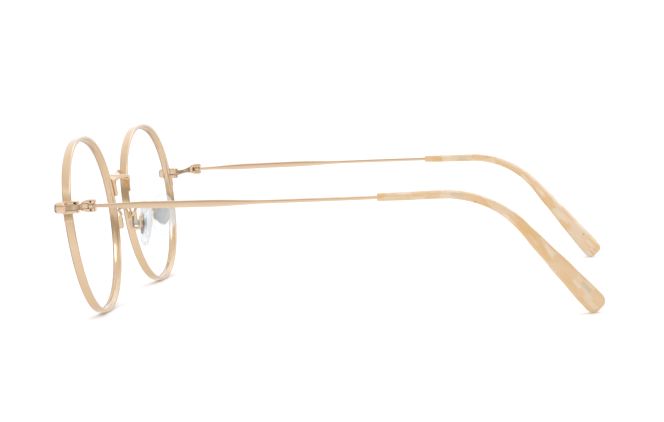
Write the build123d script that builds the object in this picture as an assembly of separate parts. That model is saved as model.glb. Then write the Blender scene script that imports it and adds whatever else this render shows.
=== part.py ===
from build123d import *
import math
import os

# Round panto metal eyeglasses, open, standing on the rim bottoms and the temple tip ends.
# Everything is first laid out in a hinge frame: X to the wearer's left, Y back towards the ears, Z up,
# with Y = 0 and Z = 0 at the middle of the temple hinge pins. The last step moves it all to the row frame,
# whose origin is the centre of the bounding box's foot on the table.

# ---------------------------------------------------------------- driving dimensions, mm
HINGE_X = 65.5          # hinge pin to the middle plane
HINGE_Z = 33.2          # hinge pin above the table
ROW_Y = 60.57           # how far the hinge frame's Y = 0 lies in front of the row origin

LENS_X = 33.3           # rim centre to the middle plane
LENS_Y = -8.8
LENS_Z = -7.68
TILT = 5.5              # pantoscopic tilt of the front, degrees
WRAP = 1.9              # face form of each lens, degrees
RIM_W = 2.4             # rim band, front to back
RIM_T = 0.9             # rim band, radially
GROOVE_D = 0.42         # depth of the lens groove
GROOVE_H = 0.52         # half width of the groove's mouth
SPLIT = 0.12            # saw cut in the rim between the two lock halves
LENS_T = 1.8            # lens thickness
LENS_R = 130.0          # lens base curve radius
FIT = 0.02              # gap at a soldered face

LOCK_X0, LOCK_X1 = 57.5, 60.6
LOCK_Y0, LOCK_Y1 = -9.9, -5.15
LOCK_TOP, LOCK_MID, LOCK_BOT = 0.93, -1.10, -2.41
LOCK_SX, LOCK_SY = 59.25, -6.15       # lock screw axis

KNOB_X, KNOB_Y0, KNOB_Y1 = 62.2, -11.4, -8.3
KNOB_TOP, KNOB_BOT = 0.82, -2.18

PIN_R = 0.34
PIN_HALF = 1.42
SLOT_HALF = 0.60        # half height of the slot in the fork
KNUCKLE_R = 1.14
SLOT_R = 1.22           # round end of the slot
KNUCKLE_HALF = 0.54

TEMPLE_STRAIGHT = 93.0  # hinge pin to the start of the ear bend
BEND_R = 27.0
BEND_DEG = 50.0
TIP_STRAIGHT = 29.335
BOW_LEN, BOW_K = 108.0, 440.0   # sideways bow of a temple: y (BOW_LEN - y) / BOW_K
SLEEVE_START = 77.0
CORE_END = 125.0        # where the metal core stops inside the tip
END_ROUND = 2.4         # how far the rounding of the tip's end reaches

BRIDGE_W = 2.75         # bridge strip, front to back
BRIDGE_BACK = -1.2     # rear face of the bridge strip in the front frame

PAD_L, PAD_W, PAD_T = 13.2, 8.1, 2.4
PAD_LEAN = 9.0          # pad tops lean together, degrees
PLATE_W, PLATE_L = 3.9, 6.2
BOX_W, BOX_D, BOX_H = 3.4, 2.3, 4.2
# each pad floats, so the two sit a little differently:
# pad centre, pad face turned back from the sagittal plane, box centre, box turned back, height of the wire's arch
# (left side values, mirrored for the right)
PADS = {
    "left": ((8.6, 0.25, -10.85), 58.0, (12.7, -1.5, -10.0), 0.0, -5.3),
    "right": ((8.6, 1.45, -10.0), 33.0, (11.6, -0.4, -10.0), 41.0, -5.9),
}

os.makedirs("parts", exist_ok=True)
made = {}


# ---------------------------------------------------------------- rim outline
def rim_r(p):
    return (25.66 + 0.28 * math.cos(2 * p) + 0.08 * math.sin(2 * p) - 0.15 * math.cos(3 * p)
            + 0.42 * math.sin(3 * p) - 0.28 * math.cos(4 * p) + 0.05 * math.sin(4 * p))


def rim_xy(p, off=0.0):
    # a point of the outline moved inwards by off; x is towards the ear, y is up
    e = 1e-4
    x0, y0 = rim_r(p - e) * math.cos(p - e), rim_r(p - e) * math.sin(p - e)
    x1, y1 = rim_r(p + e) * math.cos(p + e), rim_r(p + e) * math.sin(p + e)
    tx, ty = x1 - x0, y1 - y0
    n = math.hypot(tx, ty)
    x, y = rim_r(p) * math.cos(p), rim_r(p) * math.sin(p)
    return x - off * ty / n, y + off * tx / n


N_OUT = 48


def outline_wire(off, z=0.0):
    pts = []
    for i in range(N_OUT):
        x, y = rim_xy(2 * math.pi * i / N_OUT, off)
        pts.append((x, y, z))
    return Wire([Edge.make_spline([Vector(*p) for p in pts], periodic=True)])


def outline_prism(off, z0, z1):
    return extrude(Face(outline_wire(off, z0)), z1 - z0, dir=(0, 0, 1))


def double_cone(off_mouth, off_mid, half):
    a = Solid.make_loft([outline_wire(off_mouth, -half), outline_wire(off_mid, 0)], True)
    b = Solid.make_loft([outline_wire(off_mid, 0), outline_wire(off_mouth, half)], True)
    return a, b


# front frame: x across, y up in the plane of the front, z forwards; the left lens sits at x = +LENS_X
FRONT = Pos(0, LENS_Y, LENS_Z) * Rot(TILT, 0, 0) * Rot(90, 0, 0)
LENS = Pos(LENS_X, LENS_Y, LENS_Z) * Rot(TILT, 0, 0) * Rot(0, 0, WRAP) * Rot(90, 0, 0)


def both(name, shape, sides=("left", "right")):
    made[sides[0] + "_" + name] = shape
    made[sides[1] + "_" + name] = mirror(shape, about=Plane.YZ)


# ---------------------------------------------------------------- rim and lens
rim = outline_prism(0, -RIM_W / 2, RIM_W / 2) - outline_prism(RIM_T, -RIM_W, RIM_W)
for cone in double_cone(RIM_T + 0.01, RIM_T - GROOVE_D, GROOVE_H):
    rim = rim - cone
# the saw cut between the lock halves, level with the lock's parting plane
split_v = (LOCK_MID - LENS_Z) / math.cos(math.radians(TILT))
rim = rim - Pos(25, split_v, 0) * Box(6, SPLIT, 6)
rim = LENS * rim

half = Face(Wire([
    Edge.make_line((0, 0, math.sqrt((LENS_R + LENS_T / 2) ** 2) - math.sqrt(LENS_R ** 2 - 25 ** 2)),
                   (0, 0, (LENS_R - LENS_T / 2) - math.sqrt(LENS_R ** 2 - 25 ** 2))),
    Edge.make_three_point_arc(
        *[(r, 0, math.sqrt((LENS_R - LENS_T / 2) ** 2 - r * r) - math.sqrt(LENS_R ** 2 - 25 ** 2)) for r in (0, 14, 28)]),
    Edge.make_line(*[(28, 0, math.sqrt((LENS_R + s * LENS_T / 2) ** 2 - 28 ** 2) - math.sqrt(LENS_R ** 2 - 25 ** 2)) for s in (-1, 1)]),
    Edge.make_three_point_arc(
        *[(r, 0, math.sqrt((LENS_R + LENS_T / 2) ** 2 - r * r) - math.sqrt(LENS_R ** 2 - 25 ** 2)) for r in (28, 14, 0)]),
]))
meniscus = revolve(half, Axis.Z)
blank = outline_prism(RIM_T + 0.04, -5, 6)
for cone in double_cone(RIM_T + 0.03, RIM_T - GROOVE_D + 0.05, GROOVE_H - 0.02):
    blank = blank + cone
lens = LENS * (meniscus & blank)
both("rim", rim)
both("lens", lens)

# ---------------------------------------------------------------- rim lock, two halves and a screw
keep_off = LENS * outline_prism(-FIT, -RIM_W / 2 - FIT, RIM_W / 2 + FIT)   # the rim with a soldering gap


def lock_half(z0, z1):
    b = Pos((LOCK_X0 + LOCK_X1) / 2, (LOCK_Y0 + LOCK_Y1) / 2, (z0 + z1) / 2) * Box(
        LOCK_X1 - LOCK_X0, LOCK_Y1 - LOCK_Y0, z1 - z0)
    outer_z = z1 if z1 > LOCK_MID + 0.5 else z0
    rear = b.edges().filter_by(Axis.Z).sort_by(Axis.Y)[-2:]
    b = fillet(rear, 0.9)
    rim_edges = [e for e in b.edges() if abs(e.bounding_box().min.Z - outer_z) < 1e-4
                 and abs(e.bounding_box().max.Z - outer_z) < 1e-4]
    b = fillet(rim_edges, 0.3)
    return b


upper = lock_half(LOCK_MID + SPLIT / 2, LOCK_TOP) - keep_off
lower = lock_half(LOCK_BOT, LOCK_MID - SPLIT / 2) - keep_off
# the foot of the lower half, a thin plate soldered down the outside of the rim
foot = LENS * (outline_prism(-0.42, -RIM_W / 2 - 0.12, RIM_W / 2 - 0.02) - outline_prism(-FIT, -RIM_W, RIM_W))
foot = foot & (Pos(60, -9, (LOCK_BOT - 4.95) / 2 + 0.1) * Box(6, 8, 4.95 + LOCK_BOT + 0.2))
lower = lower + foot
lock_hole = Pos(LOCK_SX, LOCK_SY, LOCK_MID) * Cylinder(0.50, 8)
counterbore = Pos(LOCK_SX, LOCK_SY, LOCK_BOT) * Cylinder(0.90, 1.1)
upper = upper - lock_hole
lower = lower - lock_hole - counterbore
upper = upper - Pos(LOCK_X1, LOCK_SY + 0.25, LOCK_TOP - 0.55) * Rot(0, 90, 0) * Cylinder(0.27, 1.0)
screw = Pos(LOCK_SX, LOCK_SY, (LOCK_BOT + 0.45 + LOCK_TOP - 0.4) / 2) * Cylinder(0.46, LOCK_TOP - 0.4 - LOCK_BOT - 0.45)
head = Pos(LOCK_SX, LOCK_SY, LOCK_BOT + 0.30) * Cylinder(0.84, 0.46)
head = head - Pos(LOCK_SX, LOCK_SY, LOCK_BOT) * Box(2, 0.26, 0.46)
screw = screw + head
both("rim_lock_upper", upper)
both("rim_lock_lower", lower)
both("rim_lock_screw", screw)

# ---------------------------------------------------------------- end piece: front lug, strip and hinge fork
# a thin curved strip runs back to the fork: plan view outline, outer side then inner side
plan_out = [(61.72, -9.7), (62.05, -8.3), (62.75, -6.6), (64.1, -4.6), (65.85, -2.95), (66.65, -1.8)]
plan_in = [(64.35, -1.6), (63.9, -2.35), (62.7, -3.5), (61.3, -5.2), (60.68, -6.8)]
outer_edge = Edge.make_spline([Vector(x, y, 0) for x, y in plan_out], tangents=[Vector(0.1, 1, 0), Vector(0.15, 1, 0)])
inner_edge = Edge.make_spline([Vector(x, y, 0) for x, y in plan_in], tangents=[Vector(-0.3, -1, 0), Vector(0, -1, 0)])
plan = Face(Wire([
    outer_edge,
    Edge.make_line((66.65, -1.8, 0), (66.65, 1.0, 0)),
    Edge.make_three_point_arc((66.65, 1.0, 0), (66.533, 1.283, 0), (66.25, 1.4, 0)),
    Edge.make_line((66.25, 1.4, 0), (64.75, 1.4, 0)),
    Edge.make_three_point_arc((64.75, 1.4, 0), (64.467, 1.283, 0), (64.35, 1.0, 0)),
    Edge.make_line((64.35, 1.0, 0), (64.35, -1.6, 0)),
    inner_edge,
    Edge.make_line((60.68, -6.8, 0), (60.68, -9.7, 0)),
    Edge.make_line((60.68, -9.7, 0), (61.72, -9.7, 0)),
]))
plan_solid = Pos(0, 0, -6) * extrude(plan, 12, dir=(0, 0, 1))
# side view outline of the strip and fork: y, z
top_pts = [(-9.7, -0.10), (-8.4, -0.05), (-6.6, -0.01), (-4.9, 0.08), (-3.5, 0.32), (-2.5, 0.78), (-1.7, 1.32), (-0.8, 1.62), (0.1, 1.70), (1.0, 1.71)]
bot_pts = [(1.0, -1.68), (0.1, -1.70), (-0.9, -1.62), (-1.9, -1.32), (-3.0, -1.08), (-4.0, -1.20), (-5.1, -1.50), (-6.8, -1.62), (-8.4, -1.70), (-9.7, -1.72)]
side = Face(Wire([
    Edge.make_spline([Vector(0, y, z) for y, z in top_pts]),
    Edge.make_three_point_arc((0, 1.0, 1.71), (0, 1.32, 1.57), (0, 1.45, 1.24)),
    Edge.make_line((0, 1.45, 1.24), (0, 1.45, -1.20)),
    Edge.make_three_point_arc((0, 1.45, -1.20), (0, 1.32, -1.54), (0, 1.0, -1.68)),
    Edge.make_spline([Vector(0, y, z) for y, z in bot_pts]),
    Edge.make_line((0, -9.7, -1.72), (0, -9.7, -0.10)),
]))
side_solid = Pos(50, 0, 0) * extrude(side, 25, dir=(1, 0, 0))
strip = plan_solid & side_solid
# the knob at the front corner, a rounded block that hooks round in front of the rim
knob = Pos((57.6 + KNOB_X) / 2, (KNOB_Y0 + KNOB_Y1) / 2, (KNOB_TOP + KNOB_BOT) / 2) * Box(
    KNOB_X - 57.6, KNOB_Y1 - KNOB_Y0, KNOB_TOP - KNOB_BOT)
knob = fillet([e for e in knob.edges().filter_by(Axis.Z) if e.center().X > 60 and e.center().Y < -10], 1.3)
knob = fillet([e for e in knob.edges() if abs(e.bounding_box().size.Z) < 1e-4 and e.center().Y < KNOB_Y1 - 0.1
               and e.center().X > 57.7], 0.45)
knob = knob - Pos(59.14, -8.0, 0) * Box(3.08, 3.84, 8)      # stops short of the rim lock
end_piece = strip + knob
# slot for the temple knuckle, closed and round at its front
slot = Pos(65.5, 2.0, 0) * Box(8, 4.0, 2 * SLOT_HALF)
slot = slot + Pos(HINGE_X, 0, 0) * Cylinder(SLOT_R, 2 * SLOT_HALF) + Pos(HINGE_X - 2, 0, 0) * Box(4, 2 * SLOT_R, 2 * SLOT_HALF)
end_piece = end_piece - slot
end_piece = end_piece - Pos(HINGE_X, 0, 0) * Cylinder(PIN_R + 0.004, 8)
end_piece = end_piece - keep_off
# two fine lines scored forwards from the slot's corners on the outer face
for z in (0.66, -0.66):
    end_piece = end_piece - Pos(66.65, -1.4, z) * Box(0.8, 2.4, 0.17)
# punch marks that stake the pin in each ear, outside and inside, and the locating mark at the waist
for z in (1.14, -1.10):
    end_piece = end_piece - Pos(66.65, 0.25, z) * Rot(0, 90, 0) * Cylinder(0.25, 0.9)
    end_piece = end_piece - Pos(64.35, 0.15, z) * Rot(0, 90, 0) * Cylinder(0.23, 0.5)
end_piece = end_piece - Pos(62.2, -3.6, -0.4) * Rot(0, 90, 0) * Cylinder(0.26, 0.9)
both("end_piece", end_piece)
both("hinge_pin", Pos(HINGE_X, 0, 0) * Cylinder(PIN_R, 2 * PIN_HALF))


# ---------------------------------------------------------------- temple path
def bow(y):
    return y * (BOW_LEN - y) / BOW_K


def path(s):
    # point and tangent in side view, then bowed sideways
    a = math.radians(BEND_DEG)
    if s <= TEMPLE_STRAIGHT:
        y, z, dy, dz = s, 0.0, 1.0, 0.0
    elif s <= TEMPLE_STRAIGHT + BEND_R * a:
        t = (s - TEMPLE_STRAIGHT) / BEND_R
        y, z = TEMPLE_STRAIGHT + BEND_R * math.sin(t), -BEND_R * (1 - math.cos(t))
        dy, dz = math.cos(t), -math.sin(t)
    else:
        t = s - TEMPLE_STRAIGHT - BEND_R * a
        y = TEMPLE_STRAIGHT + BEND_R * math.sin(a) + t * math.cos(a)
        z = -BEND_R * (1 - math.cos(a)) - t * math.sin(a)
        dy, dz = math.cos(a), -math.sin(a)
    b = (BOW_LEN - 2 * y) / BOW_K
    return Vector(HINGE_X + bow(y), y, z), Vector(b * dy, dy, dz).normalized(), Vector(1, -b, 0).normalized()


TEMPLE_LEN = TEMPLE_STRAIGHT + BEND_R * math.radians(BEND_DEG) + TIP_STRAIGHT
print("temple length", round(TEMPLE_LEN, 2))


def lerp(table, s):
    # smooth interpolation in a table of (s, value)
    if s <= table[0][0]:
        return table[0][1]
    for (a, u), (b, v) in zip(table, table[1:]):
        if s <= b:
            t = (s - a) / (b - a)
            t = t * t * (3 - 2 * t)
            return u + (v - u) * t
    return table[-1][1]


def section(s, w, h, r):
    p, t, lat = path(s)
    return Plane(origin=p, x_dir=lat, z_dir=t) * RectangleRounded(w, h, r)


def tube(stations):
    # stations: (s, width, height, corner radius)
    return Solid.make_loft([section(*q).wire() if hasattr(section(*q), "wire") else section(*q).outer_wire() for q in stations], False)


TEMPLE_H = [(1.5, 0.98), (3.0, 0.98), (15.0, 1.84), (33.0, 1.84), (49.0, 0.96), (145.0, 0.92)]
TEMPLE_W = [(1.5, 1.15), (3.0, 1.10), (15.0, 0.84), (33.0, 0.84), (49.0, 1.04), (145.0, 0.98)]


def wire_station(s, grow=0.0):
    w, h = lerp(TEMPLE_W, s) + 2 * grow, lerp(TEMPLE_H, s) + 2 * grow
    return (s, w, h, 0.26 + grow)


stations = [0.55, 3.0, 6.0, 9.0, 12.0, 15.0, 21.0, 27.0, 33.0, 37.0, 41.0, 45.0, 49.0, 56.0, 66.0, 77.0, 86.0, 93.0,
            97.0, 101.0, 105.0, 109.0, 113.0, 116.6, 121.0, CORE_END]
temple = tube([wire_station(s) for s in stations])
knuckle = Pos(HINGE_X, 0, 0) * Cylinder(KNUCKLE_R, 2 * KNUCKLE_HALF)
temple = knuckle + temple
temple = temple - Pos(HINGE_X, 0, 0) * Cylinder(PIN_R + 0.045, 4)
both("temple", temple)

TIP_H = [(77.0, 2.15), (88.0, 2.22), (100.0, 2.36), (108.0, 2.5), (116.0, 3.0), (124.0, 3.9), (133.0, 4.95), (141.0, 5.7), (146.0, 5.8)]
TIP_W = [(77.0, 2.15), (88.0, 2.35), (105.0, 2.5), (125.0, 2.5), (145.2, 2.6)]


def tip_station(s):
    h, w = lerp(TIP_H, s), lerp(TIP_W, s)
    e = TEMPLE_LEN - s
    k = 1.0
    if e < END_ROUND:
        k = math.sqrt(max(0.0, 1 - ((END_ROUND - e) / END_ROUND) ** 2))
    hh, ww = h - 3.6 * (1 - k), w - 1.5 * (1 - k)
    return (s, ww, hh, min(ww, hh) * (0.36 if s > 79 else 0.33))


tips = [SLEEVE_START, 78.5, 82.0, 88.0, 93.0, 97.0, 101.0, 105.0, 109.0, 113.0, 117.0, 121.0, 125.0, 129.0, 133.0, 137.0, 140.5,
        TEMPLE_LEN - END_ROUND, TEMPLE_LEN - 1.7, TEMPLE_LEN - 1.0, TEMPLE_LEN - 0.5, TEMPLE_LEN - 0.2, TEMPLE_LEN - 0.03]
tip = tube([tip_station(s) for s in tips])
bore = tube([wire_station(s, 0.035) for s in stations] )
bore = bore + tube([wire_station(s, 0.035) for s in (CORE_END - 0.5, CORE_END, CORE_END + 0.5)])
tip = tip - bore
both("temple_tip", tip)

# ---------------------------------------------------------------- bridge, in the front frame
p_low = math.radians(168.3)


def nasal(p, off):
    x, y = rim_xy(p, off)
    # the left lens is turned by the face form, which shortens x a little
    return LENS_X + x * math.cos(math.radians(WRAP)), y


V = lambda q: Vector(q[0], q[1], 0)


def half_outline(w, p_top, p_nose, shoulder, crown, under, shelf):
    # half of the bridge at depth w: rim contact, rounded shoulder, top line, arch, nose side of the lobe
    rim_side = [nasal(p_low + (p_top - p_low) * i / 6, 0.0) for i in range(7)]
    nose_side = [nasal(p_low + (p_nose - p_low) * i / 5, -1.0) for i in range(6)]
    end = rim_side[-1]
    wire = Wire([
        Edge.make_spline([V(q) for q in rim_side]),
        Edge.make_bezier(V(end), Vector(end[0] + 0.1, end[1] + 0.55, 0), Vector(9.4, shoulder - 0.15, 0), Vector(8.4, shoulder, 0)),
        Edge.make_bezier(Vector(8.4, shoulder, 0), Vector(5.6, shoulder + 0.4, 0), Vector(2.8, crown, 0), Vector(0, crown, 0)),
        Edge.make_line((0, crown, 0), (0, under, 0)),
        Edge.make_bezier(Vector(0, under, 0), Vector(2.4, under, 0), Vector(5.0, shelf + 0.25, 0), Vector(6.5, shelf, 0)),
        Edge.make_bezier(Vector(6.5, shelf, 0), Vector(7.3, shelf - 0.15, 0), Vector(7.9, shelf - 0.5, 0), V(nose_side[-1])),
        Edge.make_spline([V(q) for q in reversed(nose_side)]),
        Edge.make_line(V(nose_side[0]), V(rim_side[0])),
    ])
    return Pos(0, 0, w) * wire


# the strip leans forwards and up: its front edge stands higher than its rear edge
rear_half = half_outline(BRIDGE_BACK, math.radians(158.4), math.radians(161.8), 10.35, 11.25, 10.0, 9.7)
front_half = half_outline(BRIDGE_BACK + BRIDGE_W, math.radians(155.2), math.radians(159.4), 12.35, 11.65, 10.45, 10.6)
half_bridge = Solid.make_loft([rear_half, front_half], True)
bridge = half_bridge + mirror(half_bridge, about=Plane.YZ)
# side view of the bridge: full width at the bar, the lobes tapering down towards the back
v0 = nasal(p_low, 0.0)[1] - 0.1
bridge_side = Face(Wire([
    Edge.make_line((0, 14, BRIDGE_BACK - 0.1), (0, v0 + 0.75, BRIDGE_BACK)),
    Edge.make_three_point_arc((0, v0 + 0.75, BRIDGE_BACK), (0, v0 + 0.2, BRIDGE_BACK + 0.22), (0, v0, BRIDGE_BACK + 0.72)),
    Edge.make_three_point_arc((0, v0, BRIDGE_BACK + 0.72), (0, v0 + 0.28, BRIDGE_BACK + 1.12), (0, v0 + 0.95, BRIDGE_BACK + 1.3)),
    Edge.make_bezier(Vector(0, v0 + 0.95, BRIDGE_BACK + 1.3), Vector(0, v0 + 2.6, BRIDGE_BACK + 1.75), Vector(0, v0 + 4.0, BRIDGE_BACK + BRIDGE_W - 0.3), Vector(0, v0 + 4.6, BRIDGE_BACK + BRIDGE_W)),
    Edge.make_line((0, v0 + 4.6, BRIDGE_BACK + BRIDGE_W), (0, 14, BRIDGE_BACK + BRIDGE_W + 0.1)),
    Edge.make_line((0, 14, BRIDGE_BACK + BRIDGE_W + 0.1), (0, 14, BRIDGE_BACK - 0.1)),
]))
bridge = bridge & (Pos(-15, 0, 0) * extrude(bridge_side, 30, dir=(1, 0, 0)))
bridge = FRONT * bridge - keep_off - mirror(keep_off, about=Plane.YZ)
made["bridge"] = bridge

# ---------------------------------------------------------------- nose pads, pad arms and boxes
slab = LENS * (Box(70, 70, RIM_W + 2 * FIT))


def pad_group(centre, splay, box_at, box_turn, arch):
    g, gb, le = math.radians(splay), math.radians(box_turn), math.radians(PAD_LEAN)
    up = Vector(-math.sin(le), 0.03, math.cos(le)).normalized()
    n0 = Vector(-math.cos(g), math.sin(g), 0)
    n = (n0 - up * n0.dot(up)).normalized()
    frame = Plane(origin=centre, x_dir=up.cross(n), z_dir=n)        # x forwards, y up, z out of the pad's face
    nb = Vector(-math.cos(gb), math.sin(gb), 0)
    boxf = Plane(origin=box_at, x_dir=Vector(0, 0, 1).cross(nb), z_dir=nb)
    # pad: a soft oval with a pocket for the plate
    body = Pos(0, 0, -PAD_T / 2) * extrude(Ellipse(PAD_W / 2, PAD_L / 2), PAD_T, dir=(0, 0, 1))
    body = fillet(body.edges(), 1.05)
    pocket = Pos(0, 0, -PAD_T / 2 - 0.5) * extrude(Ellipse(PLATE_W / 2 + 0.03, PLATE_L / 2 + 0.03), 1.43, dir=(0, 0, 1))
    pad = frame * (body - pocket)
    # core: the plate in the pad, a neck, and the tongue held in the box
    plate = frame * (Pos(0, 0, -PAD_T / 2) * extrude(Ellipse(PLATE_W / 2, PLATE_L / 2), 0.9, dir=(0, 0, 1)))
    tongue = boxf * (Pos(0, 0, 0.35) * Box(1.4, 1.5, 1.9) + Rot(0, 90, 0) * Cylinder(0.75, 1.4))
    a = boxf * (Pos(0, 0, 0.9) * Rectangle(1.4, 1.5))
    c = frame * (Pos(0, 0, -PAD_T / 2 + 0.3) * Rectangle(1.5, 1.9))
    neck = Solid.make_loft([a.face().outer_wire(), c.face().outer_wire()], True)
    core = plate + neck + tongue
    core = core - boxf * (Rot(0, 90, 0) * Cylinder(0.40, 4))
    # box: a U channel upright on the screw, walls in front and behind, open towards the pad, the lens and above
    shell = Pos(0, 0.05, 0) * Box(BOX_W, BOX_H, BOX_D)
    low = [e for e in shell.edges().filter_by(Axis.Z) if e.center().Y < 0]
    shell = fillet(low, 1.3)
    high = [e for e in shell.edges().filter_by(Axis.Z) if e.center().Y > 1.5]
    shell = fillet(high, 0.3)
    shell = shell - Pos(0, 0.70, 0) * Box(BOX_W - 1.4, BOX_H - 0.3, BOX_D + 2)
    shell = shell - Rot(0, 90, 0) * Cylinder(0.385, 6)
    box = boxf * shell
    head = Pos(BOX_W / 2 + 0.18, 0, 0) * Rot(0, 90, 0) * Cylinder(0.62, 0.32) - Pos(BOX_W / 2 + 0.38, 0, 0) * Box(0.34, 0.2, 2)
    bolt = boxf * (Rot(0, 90, 0) * Cylinder(0.36, BOX_W + 0.1) + head)
    # arm: a foot on the back of the rim, a small S curl, an arch over, then down behind the screw head to the box's front wall
    end = boxf.origin + boxf.x_dir * (BOX_W / 2 + 0.30) + Vector(0, 0, 1.35)
    pts = [Vector(8.45, -7.75, -9.4), Vector(8.6, -7.15, -7.75), Vector(9.25, -7.75, -6.5), Vector(9.9, -6.9, arch - 0.35),
           Vector(9.9 + 0.5 * (end.X - 9.9), -6.9 + 0.55 * (end.Y + 6.9), arch), end + Vector(0, -0.3, 2.0), end]
    rough = FilletPolyline(*pts, radius=[0.6, 0.55, 0.5, 0.9, 0.8])
    wire = rough.wire() if hasattr(rough, "wire") else Wire(rough.edges())
    arm = sweep(Plane(origin=wire @ 0, z_dir=wire % 0) * Circle(0.42), path=wire)
    foot = Box(0.85, 1.95, 3.6)
    foot = fillet(foot.edges().filter_by(Axis.X), 0.35)
    foot = Pos(8.45, -7.8, -10.3) * Rot(TILT, 0, 0) * foot
    # the foot is butted to the back face of the rim
    arm = (arm + foot) - slab
    clear = boxf * (Pos(0, 0.05, 0) * Box(BOX_W + 2 * FIT, BOX_H + 2 * FIT, BOX_D + 2 * FIT))
    arm = arm - clear
    return {"nose_pad": pad, "pad_core": core, "pad_box": box, "pad_screw": bolt, "pad_arm": arm}


for side, args in PADS.items():
    for name, shape in pad_group(*args).items():
        made[side + "_" + name] = shape if side == "left" else mirror(shape, about=Plane.YZ)

# ---------------------------------------------------------------- to the row frame, and out
for name, shape in sorted(made.items()):
    out = Pos(0, -ROW_Y, HINGE_Z) * shape
    solids = out.solids()
    keep = solids[0] if len(solids) == 1 else Compound(children=list(solids))
    bb = keep.bounding_box()
    print(name, "solids", len(solids), "vol", round(sum(s.volume for s in solids), 3), "valid", all(s.is_valid for s in solids),
          "box", [round(v, 2) for v in (bb.min.X, bb.min.Y, bb.min.Z, bb.max.X, bb.max.Y, bb.max.Z)])
    export_step(keep, f"parts/{name}.step")
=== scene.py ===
"""Looks for the round metal eyeglasses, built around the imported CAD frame. Metres, +Z up."""
import bpy
import bmesh
import math
from mathutils import Matrix, Vector, noise


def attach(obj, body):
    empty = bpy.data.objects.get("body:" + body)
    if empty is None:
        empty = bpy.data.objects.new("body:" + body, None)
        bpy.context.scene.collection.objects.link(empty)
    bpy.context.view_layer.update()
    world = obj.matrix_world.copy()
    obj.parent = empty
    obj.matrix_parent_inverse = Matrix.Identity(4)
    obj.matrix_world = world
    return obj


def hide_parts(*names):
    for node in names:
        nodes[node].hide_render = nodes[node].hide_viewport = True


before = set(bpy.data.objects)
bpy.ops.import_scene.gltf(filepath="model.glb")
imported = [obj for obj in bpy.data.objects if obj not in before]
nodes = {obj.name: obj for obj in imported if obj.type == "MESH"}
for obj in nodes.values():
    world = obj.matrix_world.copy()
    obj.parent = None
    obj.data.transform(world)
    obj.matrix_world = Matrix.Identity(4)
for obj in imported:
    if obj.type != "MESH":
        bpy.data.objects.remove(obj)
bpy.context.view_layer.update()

# ------------------------------------------------------------------ the CAD's own layout, mm, in the hinge frame
MM = 0.001
ROW_Y, HINGE_Z = 60.57, 33.2
HINGE_X = 65.5
LENS_C = (33.3, -8.8, -7.68)
TILT, WRAP = 5.5, 1.9
RIM_W, RIM_T = 2.4, 0.9
LOCK_MID = -1.10
LENS_R, LENS_T = 130.0, 1.8
TEMPLE_STRAIGHT, BEND_R, BEND_DEG, TIP_STRAIGHT = 93.0, 27.0, 50.0, 29.335
BOW_LEN, BOW_K = 108.0, 440.0
SLEEVE_START, CORE_END, END_ROUND = 77.0, 125.0, 2.4
TEMPLE_LEN = TEMPLE_STRAIGHT + BEND_R * math.radians(BEND_DEG) + TIP_STRAIGHT
SIDES = (("left", 1.0), ("right", -1.0))


def row(x, y, z):
    return Vector((x * MM, (y - ROW_Y) * MM, (z + HINGE_Z) * MM))


# ------------------------------------------------------------------ material helpers
def new_mat(name):
    m = bpy.data.materials.new(name)
    m.use_nodes = True
    nt = m.node_tree
    nt.nodes.clear()
    out = nt.nodes.new("ShaderNodeOutputMaterial")
    b = nt.nodes.new("ShaderNodeBsdfPrincipled")
    nt.links.new(b.outputs[0], out.inputs[0])
    return m, nt, b


def coords(nt, scale=(1, 1, 1)):
    tc = nt.nodes.new("ShaderNodeTexCoord")
    mp = nt.nodes.new("ShaderNodeMapping")
    mp.inputs["Scale"].default_value = scale
    nt.links.new(tc.outputs["Object"], mp.inputs["Vector"])
    return mp.outputs["Vector"]


def noise_tex(nt, vec, scale, detail=3.0, rough=0.5, dist=0.0):
    n = nt.nodes.new("ShaderNodeTexNoise")
    n.inputs["Scale"].default_value = scale
    n.inputs["Detail"].default_value = detail
    n.inputs["Roughness"].default_value = rough
    n.inputs["Distortion"].default_value = dist
    nt.links.new(vec, n.inputs["Vector"])
    return n.outputs["Fac"]


def ramp(nt, fac, stops, mode="LINEAR"):
    r = nt.nodes.new("ShaderNodeValToRGB")
    r.color_ramp.interpolation = mode
    e = r.color_ramp.elements
    while len(e) < len(stops):
        e.new(0.5)
    for i, (p, c) in enumerate(stops):
        e[i].position = p
        e[i].color = (c, c, c, 1) if isinstance(c, (int, float)) else tuple(c) + (1,)
    nt.links.new(fac, r.inputs["Fac"])
    return r.outputs["Color"]


def mix(nt, fac, a, b):
    m = nt.nodes.new("ShaderNodeMix")
    m.data_type = "RGBA"
    if isinstance(fac, float):
        m.inputs[0].default_value = fac
    else:
        nt.links.new(fac, m.inputs[0])
    for s, v in ((m.inputs[6], a), (m.inputs[7], b)):
        if isinstance(v, tuple):
            s.default_value = v + (1,)
        else:
            nt.links.new(v, s)
    return m.outputs[2]


def bump(nt, b, height, strength, dist):
    n = nt.nodes.new("ShaderNodeBump")
    n.inputs["Strength"].default_value = strength
    n.inputs["Distance"].default_value = dist
    nt.links.new(height, n.inputs["Height"])
    nt.links.new(n.outputs[0], b.inputs["Normal"])


def metal(name, base, dark, rough_lo, rough_hi, grain=(1, 1, 1), grain_scale=2600.0, bump_h=0.0000006):
    """Plated metal: a slow tint drift in the plating, fine polishing marks, and roughness that follows them."""
    m, nt, b = new_mat(name)
    v = coords(nt)
    drift = noise_tex(nt, v, 90.0, 2.0, 0.5, 0.3)
    col = mix(nt, ramp(nt, drift, [(0.32, 0.0), (0.72, 1.0)]), base, dark)
    nt.links.new(col, b.inputs["Base Color"])
    g = coords(nt, grain)
    marks = noise_tex(nt, g, grain_scale, 4.0, 0.6)
    nt.links.new(ramp(nt, marks, [(0.3, rough_lo), (0.75, rough_hi)]), b.inputs["Roughness"])
    bump(nt, b, marks, 0.25, bump_h)
    b.inputs["Metallic"].default_value = 1.0
    return m


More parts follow.
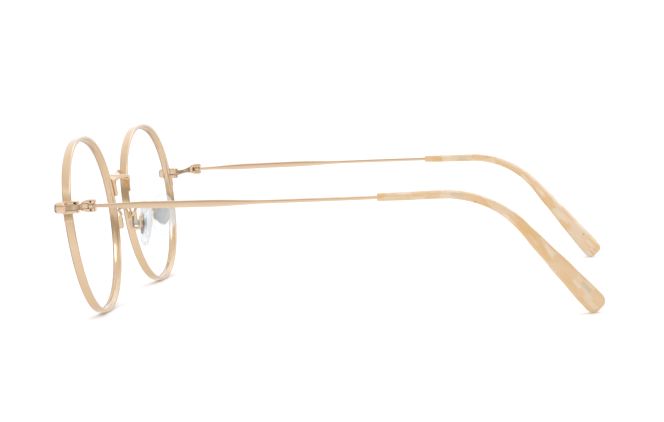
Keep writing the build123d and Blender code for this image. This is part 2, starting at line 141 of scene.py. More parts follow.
def steel(name, base, rough):
    m, nt, b = new_mat(name)
    v = coords(nt)
    n = noise_tex(nt, v, 1800.0, 3.0, 0.6)
    nt.links.new(mix(nt, n, base, tuple(c * 0.88 for c in base)), b.inputs["Base Color"])
    nt.links.new(ramp(nt, n, [(0.3, rough), (0.8, min(1.0, rough + 0.15))]), b.inputs["Roughness"])
    b.inputs["Metallic"].default_value = 1.0
    return m


rim_m = metal("rim_gold", (0.735, 0.530, 0.340), (0.715, 0.508, 0.320), 0.07, 0.13)
bridge_m = metal("bridge_gold", (0.745, 0.525, 0.305), (0.715, 0.490, 0.275), 0.06, 0.12)
end_m = metal("end_piece_gold", (0.790, 0.585, 0.400), (0.765, 0.555, 0.370), 0.06, 0.12)
lock_m = metal("lock_gold", (0.765, 0.565, 0.380), (0.735, 0.535, 0.350), 0.07, 0.14)
temple_m = metal("temple_gold", (0.775, 0.565, 0.388), (0.760, 0.550, 0.372), 0.10, 0.17, (1, 0.06, 1))
arm_m = metal("arm_gold", (0.790, 0.590, 0.370), (0.760, 0.555, 0.335), 0.06, 0.12)
box_m = metal("box_gold", (0.800, 0.595, 0.395), (0.770, 0.560, 0.355), 0.06, 0.12)
# painted shade: a near-black material for the walls of small holes, standing in for the shade inside them
hole_shade_m = steel("hole_shadow", (0.035, 0.026, 0.018), 0.55)
core_m = steel("pad_core_steel", (0.68, 0.67, 0.64), 0.50)
screw_m = steel("screw_steel", (0.45, 0.43, 0.41), 0.28)
pin_m = steel("pin_steel", (0.10, 0.085, 0.07), 0.40)


def lens_material():
    m, nt, b = new_mat("lens_clear")
    v = coords(nt)
    n = noise_tex(nt, v, 40.0, 2.0, 0.5)
    nt.links.new(mix(nt, n, (0.97, 0.985, 0.98), (0.95, 0.97, 0.965)), b.inputs["Base Color"])
    b.inputs["Roughness"].default_value = 0.03
    b.inputs["IOR"].default_value = 1.5
    lw = nt.nodes.new("ShaderNodeLayerWeight")
    lw.inputs["Blend"].default_value = 0.25
    nt.links.new(ramp(nt, lw.outputs["Fresnel"], [(0.0, 0.008), (0.35, 0.018), (1.0, 0.06)]), b.inputs["Alpha"])
    return m


# Painted shade: a dark, nearly opaque film on the outermost ring of each lens's front face, standing in for the dark
# edge that refraction at a lens edge gives.
def painted_lens_edge_shade_material():
    m, nt, b = new_mat("lens_edge")
    v = coords(nt)
    n = noise_tex(nt, v, 500.0, 2.0, 0.5)
    nt.links.new(mix(nt, n, (0.035, 0.045, 0.038), (0.07, 0.085, 0.07)), b.inputs["Base Color"])
    b.inputs["Roughness"].default_value = 0.12
    nt.links.new(ramp(nt, n, [(0.3, 0.78), (0.7, 0.86)]), b.inputs["Alpha"])
    return m


def silicone_material():
    m, nt, b = new_mat("pad_silicone")
    v = coords(nt)
    n = noise_tex(nt, v, 260.0, 3.0, 0.55, 0.4)
    lw = nt.nodes.new("ShaderNodeLayerWeight")
    lw.inputs["Blend"].default_value = 0.35
    nt.links.new(mix(nt, n, (0.84, 0.87, 0.90), (0.78, 0.815, 0.85)), b.inputs["Base Color"])
    nt.links.new(ramp(nt, n, [(0.3, 0.08), (0.8, 0.18)]), b.inputs["Roughness"])
    nt.links.new(ramp(nt, lw.outputs["Facing"], [(0.10, 0.34), (0.38, 0.46), (0.70, 0.88)]), b.inputs["Alpha"])
    b.inputs["IOR"].default_value = 1.41
    b.inputs["Transmission Weight"].default_value = 0.55
    return m


def acetate_material():
    """Pearly sheet stock: amber and peach clouds drawn out along the tip, blocks of milky pearl, a few silvery flakes and specks.
    The pattern follows the bent tip, through the straightened position stored on the mesh as "lay"."""
    m, nt, b = new_mat("tip_acetate")
    at = nt.nodes.new("ShaderNodeAttribute")
    at.attribute_name = "lay"

    def lay(scale):
        mp = nt.nodes.new("ShaderNodeMapping")
        mp.inputs["Scale"].default_value = scale
        nt.links.new(at.outputs["Vector"], mp.inputs["Vector"])
        return mp.outputs["Vector"]

    clouds = noise_tex(nt, lay((0.45, 1.0, 1.0)), 190.0, 2.0, 0.5, 0.6)
    col = mix(nt, ramp(nt, clouds, [(0.36, 0.0), (0.62, 1.0)]), (0.665, 0.410, 0.165), (0.690, 0.490, 0.285))
    blocks = nt.nodes.new("ShaderNodeTexVoronoi")
    blocks.feature = "F1"
    blocks.distance = "CHEBYCHEV"
    blocks.inputs["Scale"].default_value = 215.0
    blocks.inputs["Randomness"].default_value = 0.9
    nt.links.new(lay((1.0, 2.0, 2.3)), blocks.inputs["Vector"])
    sep = nt.nodes.new("ShaderNodeSeparateColor")
    nt.links.new(blocks.outputs["Color"], sep.inputs[0])
    col = mix(nt, ramp(nt, sep.outputs[0], [(0.60, 0.0), (0.72, 0.58)]), col, (0.720, 0.585, 0.450))
    fine = nt.nodes.new("ShaderNodeTexVoronoi")
    fine.feature = "F1"
    fine.distance = "CHEBYCHEV"
    fine.inputs["Scale"].default_value = 420.0
    nt.links.new(lay((0.8, 1.7, 2.6)), fine.inputs["Vector"])
    sep2 = nt.nodes.new("ShaderNodeSeparateColor")
    nt.links.new(fine.outputs["Color"], sep2.inputs[0])
    col = mix(nt, ramp(nt, sep2.outputs[1], [(0.80, 0.0), (0.92, 0.55)]), col, (0.740, 0.620, 0.500))
    col = mix(nt, ramp(nt, sep2.outputs[2], [(0.955, 0.0), (0.985, 0.50)]), col, (0.470, 0.420, 0.340))
    specks = nt.nodes.new("ShaderNodeTexVoronoi")
    specks.feature = "F1"
    specks.inputs["Scale"].default_value = 150.0
    nt.links.new(lay((1.0, 1.0, 1.0)), specks.inputs["Vector"])
    dots = ramp(nt, specks.outputs["Distance"], [(0.035, 0.85), (0.07, 0.0)])
    col = mix(nt, dots, col, (0.40, 0.27, 0.14))
    nt.links.new(col, b.inputs["Base Color"])
    nt.links.new(ramp(nt, clouds, [(0.3, 0.14), (0.8, 0.26)]), b.inputs["Roughness"])
    b.inputs["Subsurface Weight"].default_value = 0.25
    b.inputs["Subsurface Radius"].default_value = (0.0016, 0.0010, 0.0006)
    b.inputs["Subsurface Scale"].default_value = 0.6
    b.inputs["Coat Weight"].default_value = 0.9
    b.inputs["Coat Roughness"].default_value = 0.05
    return m


lens_m = lens_material()
lens_edge_shade_m = painted_lens_edge_shade_material()
pad_m = silicone_material()
tip_m = acetate_material()

PLAIN = {"rim": rim_m, "lens": lens_m, "end_piece": end_m, "rim_lock_upper": lock_m, "rim_lock_lower": lock_m,
         "rim_lock_screw": screw_m, "hinge_pin": pin_m, "temple": temple_m, "temple_tip": tip_m, "pad_arm": arm_m,
         "pad_box": box_m, "pad_screw": screw_m, "pad_core": core_m, "nose_pad": pad_m, "bridge": bridge_m}
for name, o in nodes.items():
    key = name.replace("left_", "").replace("right_", "")
    o.data.materials.clear()
    o.data.materials.append(PLAIN[key])


# ------------------------------------------------------------------ mesh helpers
def make_object(name, verts, faces, mats, face_mats=None, body="front", replaces=(), smooth=True):
    me = bpy.data.meshes.new(name)
    me.from_pydata([tuple(v) for v in verts], [], faces)
    for m in mats:
        me.materials.append(m)
    bm = bmesh.new()
    bm.from_mesh(me)
    if face_mats:
        bm.faces.ensure_lookup_table()
        for f, k in zip(bm.faces, face_mats):
            f.material_index = k
    bmesh.ops.recalc_face_normals(bm, faces=bm.faces)
    for f in bm.faces:
        f.smooth = smooth
    bm.to_mesh(me)
    bm.free()
    o = bpy.data.objects.new(name, me)
    bpy.context.scene.collection.objects.link(o)
    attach(o, body)
    if replaces:
        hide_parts(*replaces)
    return o


def sweep(rings, closed=False, cap0=True, cap1=True):
    """Skins a list of equal-length point rings."""
    n = len(rings[0])
    verts = [p for r in rings for p in r]
    faces = []
    m = len(rings)
    for i in range(m if closed else m - 1):
        a, b = i * n, ((i + 1) % m) * n
        for j in range(n):
            k = (j + 1) % n
            faces.append((a + j, a + k, b + k, b + j))
    if not closed:
        if cap0:
            faces.append(tuple(range(n)))
        if cap1:
            faces.append(tuple(reversed(range((m - 1) * n, m * n))))
    return verts, faces


def round_rect(w, h, r, k=5):
    """Points of a rounded rectangle, k to a corner."""
    r = min(r, w / 2 - 1e-4, h / 2 - 1e-4)
    pts = []
    for cx, cy, a0 in ((w / 2 - r, h / 2 - r, 0), (-w / 2 + r, h / 2 - r, 90), (-w / 2 + r, -h / 2 + r, 180), (w / 2 - r, -h / 2 + r, 270)):
        for i in range(k):
            a = math.radians(a0 + 90 * i / (k - 1))
            pts.append((cx + r * math.cos(a), cy + r * math.sin(a)))
    return pts


# ------------------------------------------------------------------ rim outline
def rim_r(p):
    return (25.66 + 0.28 * math.cos(2 * p) + 0.08 * math.sin(2 * p) - 0.15 * math.cos(3 * p)
            + 0.42 * math.sin(3 * p) - 0.28 * math.cos(4 * p) + 0.05 * math.sin(4 * p))


def rim_xy(p, off=0.0):
    e = 1e-4
    x0, y0 = rim_r(p - e) * math.cos(p - e), rim_r(p - e) * math.sin(p - e)
    x1, y1 = rim_r(p + e) * math.cos(p + e), rim_r(p + e) * math.sin(p + e)
    tx, ty = x1 - x0, y1 - y0
    n = math.hypot(tx, ty)
    x, y = rim_r(p) * math.cos(p), rim_r(p) * math.sin(p)
    return x - off * ty / n, y + off * tx / n


LENS_ROT = (Matrix.Rotation(math.radians(TILT), 3, "X") @ Matrix.Rotation(math.radians(WRAP), 3, "Z")
            @ Matrix.Rotation(math.radians(90), 3, "X"))


def lens_pt(x, y, z, s):
    q = LENS_ROT @ Vector((x, y, z))
    return row(s * (LENS_C[0] + q.x), LENS_C[1] + q.y, LENS_C[2] + q.z)


def rim_profile():
    """(inward offset, forward) points of the rim band: rounded outer corners, soft inner corners, a V groove."""
    h, t = RIM_W / 2, RIM_T
    pts = []

    def corner(cx, cz, r, a0, a1, k=4):
        for i in range(k):
            a = math.radians(a0 + (a1 - a0) * i / (k - 1))
            pts.append((cx - r * math.cos(a), cz + r * math.sin(a)))
    corner(0.32, h - 0.32, 0.32, 0, 90, 7)
    corner(t - 0.12, h - 0.12, 0.12, 90, 180, 4)
    pts.append((t, 0.52))
    pts.append((t - 0.42, 0.0))
    pts.append((t, -0.52))
    corner(t - 0.12, -h + 0.12, 0.12, 180, 270, 4)
    corner(0.20, -h + 0.20, 0.20, 270, 360, 5)
    return pts


PROF = rim_profile()
split_v = (LOCK_MID - LENS_C[2]) / math.cos(math.radians(TILT))
p_split = math.asin(split_v / 25.7)
for _ in range(20):
    p_split = math.asin(split_v / rim_r(p_split))
for side, s in SIDES:
    n = 288
    gap = 0.07 / 25.7
    rings = []
    for i in range(n + 1):
        p = p_split + gap + (2 * math.pi - 2 * gap) * i / n
        rings.append([lens_pt(*rim_xy(p, d), z, s) for d, z in PROF])
    v, f = sweep(rings)
    make_object(side + "_rim_band", v, f, [rim_m], body="front", replaces=(side + "_rim",))

# ------------------------------------------------------------------ lenses
ZREF = math.sqrt(LENS_R ** 2 - 25 ** 2)
for side, s in SIDES:
    nr, na = 22, 192
    ts = [i / nr for i in range(1, nr)] + [0.993, 1.0]
    verts, faces, fm = [], [], []
    base = RIM_T + 0.04

    def surf(p, t, front):
        x, y = rim_xy(p, base)
        x, y = x * t, y * t
        r2 = x * x + y * y
        R = LENS_R + (LENS_T / 2 if front else -LENS_T / 2)
        return x, y, math.sqrt(R * R - r2) - ZREF

    for front in (True, False):
        c = len(verts)
        verts.append(lens_pt(*surf(0, 0.0, front), s))
        start = len(verts)
        for t in ts:
            for a in range(na):
                verts.append(lens_pt(*surf(2 * math.pi * a / na, t, front), s))
        for a in range(na):
            faces.append((c, start + a, start + (a + 1) % na))
            fm.append(0)
        for k in range(len(ts) - 1):
            for a in range(na):
                i0, i1 = start + k * na + a, start + k * na + (a + 1) % na
                faces.append((i0, i1, i1 + na, i0 + na))
                # the outermost ring of the front face takes the painted edge shade
                fm.append(1 if front and k == len(ts) - 2 else 0)
        if front:
            f_last = start + (len(ts) - 1) * na
        else:
            b_last = start + (len(ts) - 1) * na
    loops = [f_last]
    for d, z in ((base, 0.5), (0.53, 0.0), (base, -0.5)):
        loops.append(len(verts))
        for a in range(na):
            x, y = rim_xy(2 * math.pi * a / na, d)
            verts.append(lens_pt(x, y, z, s))
    loops.append(b_last)
    for a0, b0 in zip(loops, loops[1:]):
        for a in range(na):
            a1 = (a + 1) % na
            faces.append((a0 + a, a0 + a1, b0 + a1, b0 + a))
            fm.append(0)
    o = make_object(side + "_lens_glass", verts, faces, [lens_m, lens_edge_shade_m], fm, body="front", replaces=(side + "_lens",))


# ------------------------------------------------------------------ temples and tips
def path(s):
    a = math.radians(BEND_DEG)
    if s <= TEMPLE_STRAIGHT:
        y, z, dy, dz = s, 0.0, 1.0, 0.0
    elif s <= TEMPLE_STRAIGHT + BEND_R * a:
        t = (s - TEMPLE_STRAIGHT) / BEND_R
        y, z = TEMPLE_STRAIGHT + BEND_R * math.sin(t), -BEND_R * (1 - math.cos(t))
        dy, dz = math.cos(t), -math.sin(t)
    else:
        t = s - TEMPLE_STRAIGHT - BEND_R * a
        y = TEMPLE_STRAIGHT + BEND_R * math.sin(a) + t * math.cos(a)
        z = -BEND_R * (1 - math.cos(a)) - t * math.sin(a)
        dy, dz = math.cos(a), -math.sin(a)
    b = (BOW_LEN - 2 * y) / BOW_K
    tan = Vector((b * dy, dy, dz)).normalized()
    lat = Vector((1, -b, 0)).normalized()
    return Vector((HINGE_X + y * (BOW_LEN - y) / BOW_K, y, z)), tan, lat


def lerp(table, s):
    if s <= table[0][0]:
        return table[0][1]
    for (a, u), (b, v) in zip(table, table[1:]):
        if s <= b:
            t = (s - a) / (b - a)
            t = t * t * (3 - 2 * t)
            return u + (v - u) * t
    return table[-1][1]


def ring_at(s, pts, sx):
    p, t, lat = path(s)
    up = lat.cross(t)
    out = []
    for u, v in pts:
        q = p + lat * u + up * v
        out.append(row(sx * q.x, q.y, q.z))
    return out


TEMPLE_H = [(1.5, 0.98), (3.0, 0.98), (15.0, 1.84), (33.0, 1.84), (49.0, 0.96), (145.0, 0.92)]
TEMPLE_W = [(1.5, 1.15), (3.0, 1.10), (15.0, 0.84), (33.0, 0.84), (49.0, 1.04), (145.0, 0.98)]
TIP_H = [(77.0, 2.15), (88.0, 2.22), (100.0, 2.36), (108.0, 2.5), (116.0, 3.0), (124.0, 3.9), (133.0, 4.95), (141.0, 5.7), (146.0, 5.8)]
TIP_W = [(77.0, 2.15), (88.0, 2.35), (105.0, 2.5), (125.0, 2.5), (145.2, 2.6)]


def boolean_union(a, b):
    mod = a.modifiers.new("u", "BOOLEAN")
    mod.operation = "UNION"
    mod.solver = "EXACT"
    mod.object = b
    dg = bpy.context.evaluated_depsgraph_get()
    me = bpy.data.meshes.new_from_object(a.evaluated_get(dg))
    a.modifiers.clear()
    old = a.data
    a.data = me
    bpy.data.meshes.remove(old)
    bpy.data.objects.remove(b)


def lathe_z(profile, centre, n=48):
    """Closed ring profile (r, z) turned about a vertical axis."""
    rings = []
    for i in range(n):
        a = 2 * math.pi * i / n
        rings.append([row(centre[0] + r * math.cos(a), centre[1] + r * math.sin(a), centre[2] + z) for r, z in profile])
    return sweep(rings, closed=True)


for side, sx in SIDES:
    ss = [0.62 + 0.4 * i for i in range(10)] + [4.6 + 1.0 * i for i in range(int((CORE_END - 5.0)))] + [CORE_END]
    rings = [ring_at(s, round_rect(lerp(TEMPLE_W, s), lerp(TEMPLE_H, s), 0.26, 5), sx) for s in ss]
    v, f = sweep(rings)
    wire = make_object(side + "_temple_wire", v, f, [temple_m], body=side + "_temple_body", replaces=(side + "_temple",))
    prof = [(0.385, -0.54), (1.05, -0.54), (1.115, -0.51), (1.14, -0.44), (1.14, 0.44), (1.115, 0.51), (1.05, 0.54), (0.385, 0.54)]
    v, f = lathe_z(prof, (sx * HINGE_X, 0, 0))
    me = bpy.data.meshes.new("knuckle")
    me.from_pydata([tuple(q) for q in v], [], f)
    bm = bmesh.new()
    bm.from_mesh(me)
    bmesh.ops.recalc_face_normals(bm, faces=bm.faces)
    bm.to_mesh(me)
    bm.free()
    ob = bpy.data.objects.new("knuckle", me)
    bpy.context.scene.collection.objects.link(ob)
    boolean_union(wire, ob)
    for p in wire.data.polygons:
        p.use_smooth = True

    # tip: outer skin with a rounded mouth and a rounded end, and the bore round the core
    outer, lay = [], []
    E = TEMPLE_LEN
    ss = [SLEEVE_START + 0.02, SLEEVE_START + 0.10, SLEEVE_START + 0.25, SLEEVE_START + 0.45] + [78.0 + i for i in range(66)]
    ss = [q for q in ss if q < E - END_ROUND - 0.05] + [E - END_ROUND + END_ROUND * math.sin(math.radians(6 * i)) for i in range(16)]
    for s in ss:
        h, w = lerp(TIP_H, s), lerp(TIP_W, s)
        e = E - s
        if e < END_ROUND:
            k = math.sqrt(max(0.0, 1 - ((END_ROUND - e) / END_ROUND) ** 2))
            h, w = h - 3.6 * (1 - k), w - 1.5 * (1 - k)
        d = s - SLEEVE_START
        if d < 0.45:
            k = math.sqrt(max(0.0, 1 - ((0.45 - d) / 0.45) ** 2))
            h, w = h - 0.55 * (1 - k), w - 0.55 * (1 - k)
        pts = round_rect(w, h, min(w, h) * 0.36, 7)
        outer.append(ring_at(min(s, E - 0.01), pts, sx))
        lay += [(s * MM * sx, u * MM, q * MM) for u, q in pts]
    inner, lay_in = [], []
    for s in [SLEEVE_START + 0.02] + [79.0 + 2.0 * i for i in range(23)] + [CORE_END + 0.4]:
        pts = round_rect(lerp(TEMPLE_W, s) + 0.08, lerp(TEMPLE_H, s) + 0.08, 0.28, 7)
        inner.append(ring_at(s, pts, sx))
        lay_in.append([(s * MM * sx, u * MM, q * MM) for u, q in pts])
    rings = list(reversed(inner)) + outer
    lay = [q for ring in reversed(lay_in) for q in ring] + lay
    v, f = sweep(rings)
    o = make_object(side + "_tip_acetate", v, f, [tip_m], body=side + "_temple_body", replaces=(side + "_temple_tip",))
    at = o.data.attributes.new("lay", "FLOAT_VECTOR", "POINT")
    for i, q in enumerate(lay):
        at.data[i].vector = q


# ------------------------------------------------------------------ small metal parts: softened copies of the CAD solids
def paint_hole_shade(o, side, spots):
    """Paints shade inside small holes: their walls get the near-black hole_shadow material, painted shade. Spots are
    (x, y, z, radius, depth) with the hole running along x from its mouth.
    """
    sx = 1.0 if side == "left" else -1.0
    o.data.materials.append(hole_shade_m)
    for p in o.data.polygons:
        c = o.matrix_world @ p.center
        x, y, z = sx * c.x / MM, c.y / MM + ROW_Y, c.z / MM - HINGE_Z
        for hx, hy, hz, r, d in spots:
            if hx - d - 0.08 < x < hx - 0.03 and math.hypot(y - hy, z - hz) < r + 0.05:
                p.material_index = 1


def soften(node, mat, voxel, rounds, body="front", factor=0.5, extra=0, crisp=(), knob_y=None, rest=1.0):
    """Rounded copy of a CAD solid. extra rounds of smoothing fade out near the crisp spots, (x, y, z, radius) in the hinge frame,
    and are weaker, by the factor rest, behind knob_y."""
    src = nodes[node]
    me = src.data.copy()
    me.name = node + "_soft"
    bm = bmesh.new()
    bm.from_mesh(me)
    bmesh.ops.remove_doubles(bm, verts=bm.verts, dist=2e-6)
    bm.to_mesh(me)
    bm.free()
    o = bpy.data.objects.new(node + "_soft", me)
    o.matrix_world = src.matrix_world.copy()
    bpy.context.scene.collection.objects.link(o)
    r = o.modifiers.new("r", "REMESH")
    r.mode = "VOXEL"
    r.voxel_size = voxel * MM
    r.adaptivity = 0.0
    sm = o.modifiers.new("s", "SMOOTH")
    sm.factor = factor
    sm.iterations = rounds
    dg = bpy.context.evaluated_depsgraph_get()
    new = bpy.data.meshes.new_from_object(o.evaluated_get(dg))
    o.modifiers.clear()
    o.data = new
    if extra:
        g = o.vertex_groups.new(name="round")
        for q in new.vertices:
            c = o.matrix_world @ q.co
            x, y, z = abs(c.x) / MM, c.y / MM + ROW_Y, c.z / MM - HINGE_Z
            w = 1.0 if knob_y is None else 1.0 + (rest - 1.0) * min(1.0, max(0.0, (y - knob_y) / 0.8))
            for hx, hy, hz, r in crisp:
                d = math.sqrt((x - hx) ** 2 + (y - hy) ** 2 + (z - hz) ** 2)
                w = min(w, max(0.0, (d - r) / 0.25))
            g.add([q.index], w, "REPLACE")
        left = extra
        while left > 0:
            sm = o.modifiers.new("s", "SMOOTH")
            sm.factor = factor
            sm.iterations = min(30, left)
            sm.vertex_group = "round"
            left -= 30
        dg = bpy.context.evaluated_depsgraph_get()
        old = new
        new = bpy.data.meshes.new_from_object(o.evaluated_get(dg))
        o.modifiers.clear()
        o.data = new
        bpy.data.meshes.remove(old)
        o.vertex_groups.clear()
    new.materials.clear()
    new.materials.append(mat)
    for p in new.polygons:
        p.use_smooth = True
    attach(o, body)
    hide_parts(node)
    return o


soften("bridge", bridge_m, 0.07, 5)
for side, sx in SIDES:
    o = soften(side + "_end_piece", end_m, 0.045, 3, extra=90, knob_y=-8.6, rest=1.0,
               crisp=[(66.65, 0.25, 1.14, 0.30), (66.65, 0.25, -1.10, 0.30), (65.5, 0.0, 0.0, 0.95)]
               + [(66.62, -2.6 + 0.35 * k, z, 0.16) for k in range(8) for z in (0.66, -0.66)])
    # painted shade inside the pin holes of the fork ears
    paint_hole_shade(o, side, [(66.65, 0.25, 1.14, 0.25, 0.45), (66.65, 0.25, -1.10, 0.25, 0.45)])
    for q in o.data.vertices:                                   # the square knob shrinks to a core inside the rounded one
        c = o.matrix_world @ q.co
        x, y, z = abs(c.x) / MM, c.y / MM + ROW_Y, c.z / MM - HINGE_Z
        if y < -8.5 and x > 57.0:
            q.co = o.matrix_world.inverted() @ row(sx * min(max(x, 57.8), 61.5), max(y, -10.7), min(max(z, -1.6), 0.2))
    # rounded knob: a lozenge section drawn along y, full at the back, domed at the front
    x0, x1, z0, z1, y0, y1 = 57.7, 62.2, -2.18, 0.82, -11.4, -8.3
    rings = []
    stations = [y0 + 1.15 * (1 - math.cos(math.radians(90 * i / 9))) for i in range(1, 10)] + [-9.9, -9.5, -9.1, -8.8]
    stations += [y1 - 0.34 * (1 - math.sin(math.radians(90 * i / 5))) for i in range(1, 6)]
    for y in stations:
        f = max(0.0, (y0 + 1.15 - y) / 1.15)
        inset = 1.0 * (1 - math.sqrt(max(0.0, 1 - f * f)))
        f = max(0.0, (y - (y1 - 0.34)) / 0.34)
        inset += 0.30 * (1 - math.sqrt(max(0.0, 1 - f * f)))
        a0, a1, b0, b1 = x0 + inset * 0.3, x1 - inset, z0 + inset * 0.9, z1 - inset
        pts = []
        for cx, cz, r, t0 in ((a1, b1, 1.15, 0), (a0, b1, 0.35, 90), (a0, b0, 0.35, 180), (a1, b0, 0.62, 270)):
            r = min(r, (b1 - b0) * 0.42)
            ox, oz = cx + (-r if cx == a1 else r), cz + (-r if cz == b1 else r)
            for i in range(9):
                t = math.radians(t0 + 90 * i / 8)
                pts.append((ox + r * math.cos(t), oz + r * math.sin(t)))
        rings.append([row(sx * x, y, z) for x, z in pts])
    v, f = sweep(rings)
    make_object(side + "_end_knob", v, f, [end_m], body="front")
    o = soften(side + "_rim_lock_upper", lock_m, 0.045, 3, extra=30, crisp=((60.60, -5.90, 0.38, 0.5),))
    # painted shade inside the screw hole of the rim lock
    paint_hole_shade(o, side, [(60.60, -5.90, 0.38, 0.27, 0.5)])
    soften(side + "_rim_lock_lower", lock_m, 0.05, 3, extra=30)
    soften(side + "_pad_box", box_m, 0.045, 3, extra=24)
    soften(side + "_pad_arm", arm_m, 0.05, 4)

# ------------------------------------------------------------------ nose pads: soft domed ovals with the pocket for the plate
PAD_L, PAD_W, PAD_T, PAD_LEAN = 13.2, 8.1, 2.4, 9.0
PLATE_W, PLATE_L = 3.9, 6.2
for side, sx in SIDES:
    centre, splay = {"left": ((8.6, 0.25, -10.85), 58.0), "right": ((8.6, 1.45, -10.0), 33.0)}[side]
    g, le = math.radians(splay), math.radians(PAD_LEAN)
    up = Vector((-math.sin(le), 0.03, math.cos(le))).normalized()
    n0 = Vector((-math.cos(g), math.sin(g), 0))
    nz = (n0 - up * n0.dot(up)).normalized()
    nx = up.cross(nz)
    ny = nz.cross(nx)
    h = PAD_T / 2
    prof = []
    for i in range(1, 15):                                      # domed front, from near the middle outwards
        r = math.sin(math.radians(90 * i / 14))
        prof.append((PAD_W / 2 * r, PAD_L / 2 * r, -0.15 + (h + 0.15) * (1 - r ** 3.0) ** 0.5))
    for i in range(1, 8):                                       # rounded back edge
        q = math.radians(90 * i / 7)
        c = 0.95 * (1 - math.cos(q))
        prof.append((PAD_W / 2 - c, PAD_L / 2 - c, -0.15 - (h - 0.15) * math.sin(q)))
    pw, pl = PLATE_W / 2 + 0.03, PLATE_L / 2 + 0.03
    prof += [(pw + 0.05, pl + 0.05, -h), (pw, pl, -h + 0.06), (pw, pl, -h + 0.93), (0.05, 0.08, -h + 0.93)]
    rings = []
    for ax, ay, z in prof:
        ring = []
        for i in range(72):
            t = 2 * math.pi * i / 72
            q = Vector(centre) + nx * (ax * math.cos(t)) + ny * (ay * math.sin(t)) + nz * z
            ring.append(row(sx * q.x, q.y, q.z))
        rings.append(ring)
    v, f = sweep(rings)
    make_object(side + "_pad_skin", v, f, [pad_m], body=side + "_pad_body", replaces=(side + "_nose_pad",))

# ------------------------------------------------------------------ stage: pale floor, soft studio light
fm, nt, b = new_mat("floor_pale")
v = coords(nt)
n = noise_tex(nt, v, 6.0, 2.0, 0.5)
nt.links.new(mix(nt, n, (0.985, 0.985, 0.985), (0.975, 0.975, 0.978)), b.inputs["Base Color"])
b.inputs["Roughness"].default_value = 0.9
b.inputs["Specular IOR Level"].default_value = 0.1
me = bpy.data.meshes.new("floor")
me.from_pydata([(-6, -6, -0.00002), (6, -6, -0.00002), (6, 6, -0.00002), (-6, 6, -0.00002)], [], [(0, 1, 2, 3)])
me.materials.append(fm)
floor = bpy.data.objects.new("floor", me)
bpy.context.scene.collection.objects.link(floor)
floor.visible_glossy = False

world = bpy.data.worlds.new("studio")
bpy.context.scene.world = world
world.use_nodes = True
wn = world.node_tree
wn.nodes.clear()
wo = wn.nodes.new("ShaderNodeOutputWorld")
bg_cam = wn.nodes.new("ShaderNodeBackground")
bg_cam.inputs[0].default_value = (1, 1, 1, 1)
bg_cam.inputs[1].default_value = 1.03
bg_env = wn.nodes.new("ShaderNodeBackground")
tc = wn.nodes.new("ShaderNodeTexCoord")
sp = wn.nodes.new("ShaderNodeSeparateXYZ")
wn.links.new(tc.outputs["Generated"], sp.inputs[0])
def env_ramp(stops):
    mr = wn.nodes.new("ShaderNodeMapRange")
    mr.inputs["From Min"].default_value = -1.0
    mr.inputs["From Max"].default_value = 1.0
    wn.links.new(sp.outputs["Z"], mr.inputs["Value"])
    cr = wn.nodes.new("ShaderNodeValToRGB")
    e = cr.color_ramp.elements
    while len(e) < len(stops):
        e.new(0.5)
    for i, (pos, c) in enumerate(stops):
        e[i].position = 0.5 + 0.5 * pos
        e[i].color = (c ** 0.70, c, c ** 1.5, 1) if c > 1.0 else (c ** 0.92, c, c ** 1.2, 1)
    wn.links.new(mr.outputs[0], cr.inputs[0])
    return cr.outputs[0]


# a bright tent: a dimmer wall just above the horizon on the near side, a bright wall on the far side, dark panels at the two ends
far_side = env_ramp([(-1.0, 1.02), (-0.80, 0.92), (-0.40, 0.90), (-0.05, 0.98), (0.15, 1.22), (0.40, 1.28), (0.80, 1.28), (1.0, 1.15)])
near_side = env_ramp([(-1.0, 1.06), (-0.75, 1.14), (-0.45, 1.18), (-0.25, 1.10), (0.0, 0.97), (0.08, 0.56), (0.28, 0.50), (0.38, 0.72), (0.50, 0.92), (0.60, 1.18), (0.70, 0.96), (0.85, 1.0), (1.0, 1.12)])
mx = wn.nodes.new("ShaderNodeMapRange")
mx.inputs["From Min"].default_value = -0.35
mx.inputs["From Max"].default_value = 0.25
wn.links.new(sp.outputs["X"], mx.inputs["Value"])
em = wn.nodes.new("ShaderNodeMix")
em.data_type = "RGBA"
wn.links.new(mx.outputs[0], em.inputs[0])
wn.links.new(far_side, em.inputs[6])
wn.links.new(near_side, em.inputs[7])
ends = wn.nodes.new("ShaderNodeMapRange")
ends.inputs["From Min"].default_value = -1.0
ends.inputs["From Max"].default_value = 1.0
wn.links.new(sp.outputs["Y"], ends.inputs["Value"])
er = wn.nodes.new("ShaderNodeValToRGB")
el = er.color_ramp.elements
while len(el) < 8:
    el.new(0.5)
for i, (pos, c) in enumerate(((-1.0, 0.85), (-0.97, 0.62), (-0.80, 0.62), (-0.64, 1.0), (0.76, 1.0), (0.88, 0.40), (0.97, 0.40), (1.0, 0.75))):
    el[i].position, el[i].color = 0.5 + 0.5 * pos, (c, c, c, 1)
wn.links.new(ends.outputs[0], er.inputs[0])
low = wn.nodes.new("ShaderNodeValToRGB")                        # darker still where the front panel meets the floor
el = low.color_ramp.elements
while len(el) < 4:
    el.new(0.5)
for i, (pos, c) in enumerate(((-0.97, 0.30), (-0.72, 0.26), (-0.58, 1.0), (1.0, 1.0))):
    el[i].position, el[i].color = 0.5 + 0.5 * pos, (c, c, c, 1)
wn.links.new(ends.outputs[0], low.inputs[0])
lz = wn.nodes.new("ShaderNodeMapRange")
lz.inputs["From Min"].default_value = -0.10
lz.inputs["From Max"].default_value = -0.24
wn.links.new(sp.outputs["Z"], lz.inputs["Value"])
lm = wn.nodes.new("ShaderNodeMix")
lm.data_type = "RGBA"
wn.links.new(lz.outputs[0], lm.inputs[0])
wn.links.new(er.outputs[0], lm.inputs[6])
wn.links.new(low.outputs[0], lm.inputs[7])
mul = wn.nodes.new("ShaderNodeMix")
mul.data_type = "RGBA"
mul.blend_type = "MULTIPLY"
mul.inputs[0].default_value = 1.0
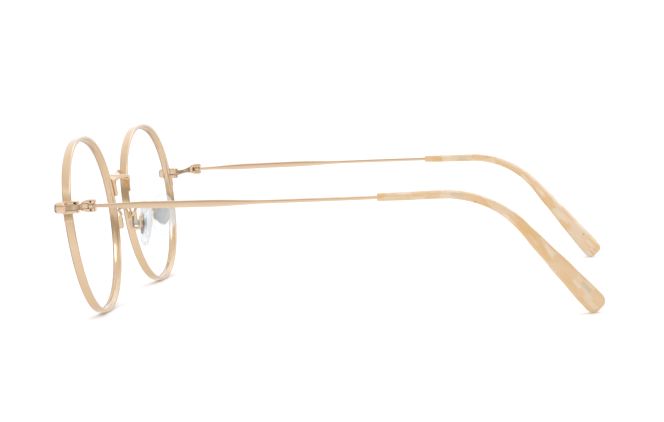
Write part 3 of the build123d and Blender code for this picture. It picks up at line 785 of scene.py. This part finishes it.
wn.links.new(em.outputs[2], mul.inputs[6])
wn.links.new(lm.outputs[2], mul.inputs[7])
bank_z = env_ramp([(-1.0, 0.0), (0.58, 0.0), (0.66, 1.7), (0.82, 1.7), (0.90, 0.0), (1.0, 0.0)])
bank_y = wn.nodes.new("ShaderNodeValToRGB")
el = bank_y.color_ramp.elements
while len(el) < 4:
    el.new(0.5)
for i, (pos, c) in enumerate(((-0.12, 0.0), (-0.05, 1.0), (0.50, 1.0), (0.60, 0.0))):
    el[i].position, el[i].color = 0.5 + 0.5 * pos, (c, c, c, 1)
wn.links.new(ends.outputs[0], bank_y.inputs[0])
bank = wn.nodes.new("ShaderNodeMix")
bank.data_type = "RGBA"
bank.blend_type = "MULTIPLY"
bank.inputs[0].default_value = 1.0
wn.links.new(bank_z, bank.inputs[6])
wn.links.new(bank_y.outputs[0], bank.inputs[7])
plus = wn.nodes.new("ShaderNodeMix")
plus.data_type = "RGBA"
plus.blend_type = "ADD"
plus.inputs[0].default_value = 1.0
wn.links.new(mul.outputs[2], plus.inputs[6])
wn.links.new(bank.outputs[2], plus.inputs[7])
wn.links.new(plus.outputs[2], bg_env.inputs[0])
bg_env.inputs[1].default_value = 1.0
lp = wn.nodes.new("ShaderNodeLightPath")
ms = wn.nodes.new("ShaderNodeMixShader")
wn.links.new(lp.outputs["Is Glossy Ray"], ms.inputs[0])
wn.links.new(bg_cam.outputs[0], ms.inputs[1])
wn.links.new(bg_env.outputs[0], ms.inputs[2])
wn.links.new(ms.outputs[0], wo.inputs[0])


def area(name, loc, target, size, size_y, power):
    l = bpy.data.lights.new(name, "AREA")
    l.shape = "RECTANGLE"
    l.size, l.size_y = size, size_y
    l.energy = power
    o = bpy.data.objects.new(name, l)
    o.location = loc
    d = Vector(target) - Vector(loc)
    o.rotation_euler = d.to_track_quat("-Z", "Y").to_euler()
    bpy.context.scene.collection.objects.link(o)
    o.visible_glossy = False
    return o


area("key", (0.55, -0.35, 0.75), (0, 0, 0.02), 0.5, 0.5, 0.9)
area("top", (-0.1, 0.1, 0.9), (0, 0, 0.0), 0.8, 0.8, 1.0)
area("back", (-0.7, 0.3, 0.45), (0, 0, 0.02), 0.5, 0.5, 0.6)

sc = bpy.context.scene
sc.view_settings.view_transform = "Standard"
sc.view_settings.look = "None"
sc.view_settings.exposure = 0.0
sc.view_settings.gamma = 1.0

# ------------------------------------------------------------------ camera
AZ, EL, ROLL = 98.25, 5.3, -2.75
F_PX = 1763.0
cam = bpy.data.cameras.new("camera")
cam.sensor_fit = "HORIZONTAL"
cam.sensor_width = 36.0
cam.lens = F_PX / 664 * 36
cam.clip_start, cam.clip_end = 0.01, 50
co = bpy.data.objects.new("camera", cam)
sc.collection.objects.link(co)
a, e_, r_ = (math.radians(q) for q in (AZ, EL, ROLL))
back = Vector((math.sin(a) * math.cos(e_), -math.cos(a) * math.cos(e_), math.sin(e_)))
right = Vector((math.cos(a), math.sin(a), 0))
up = back.cross(right)
R = right * math.cos(r_) + up * math.sin(r_)
U = -right * math.sin(r_) + up * math.cos(r_)
M = Matrix((R, U, back)).transposed().to_4x4()
M.translation = row(517.0, 129.9, 38.67)
co.matrix_world = M
sc.camera = co
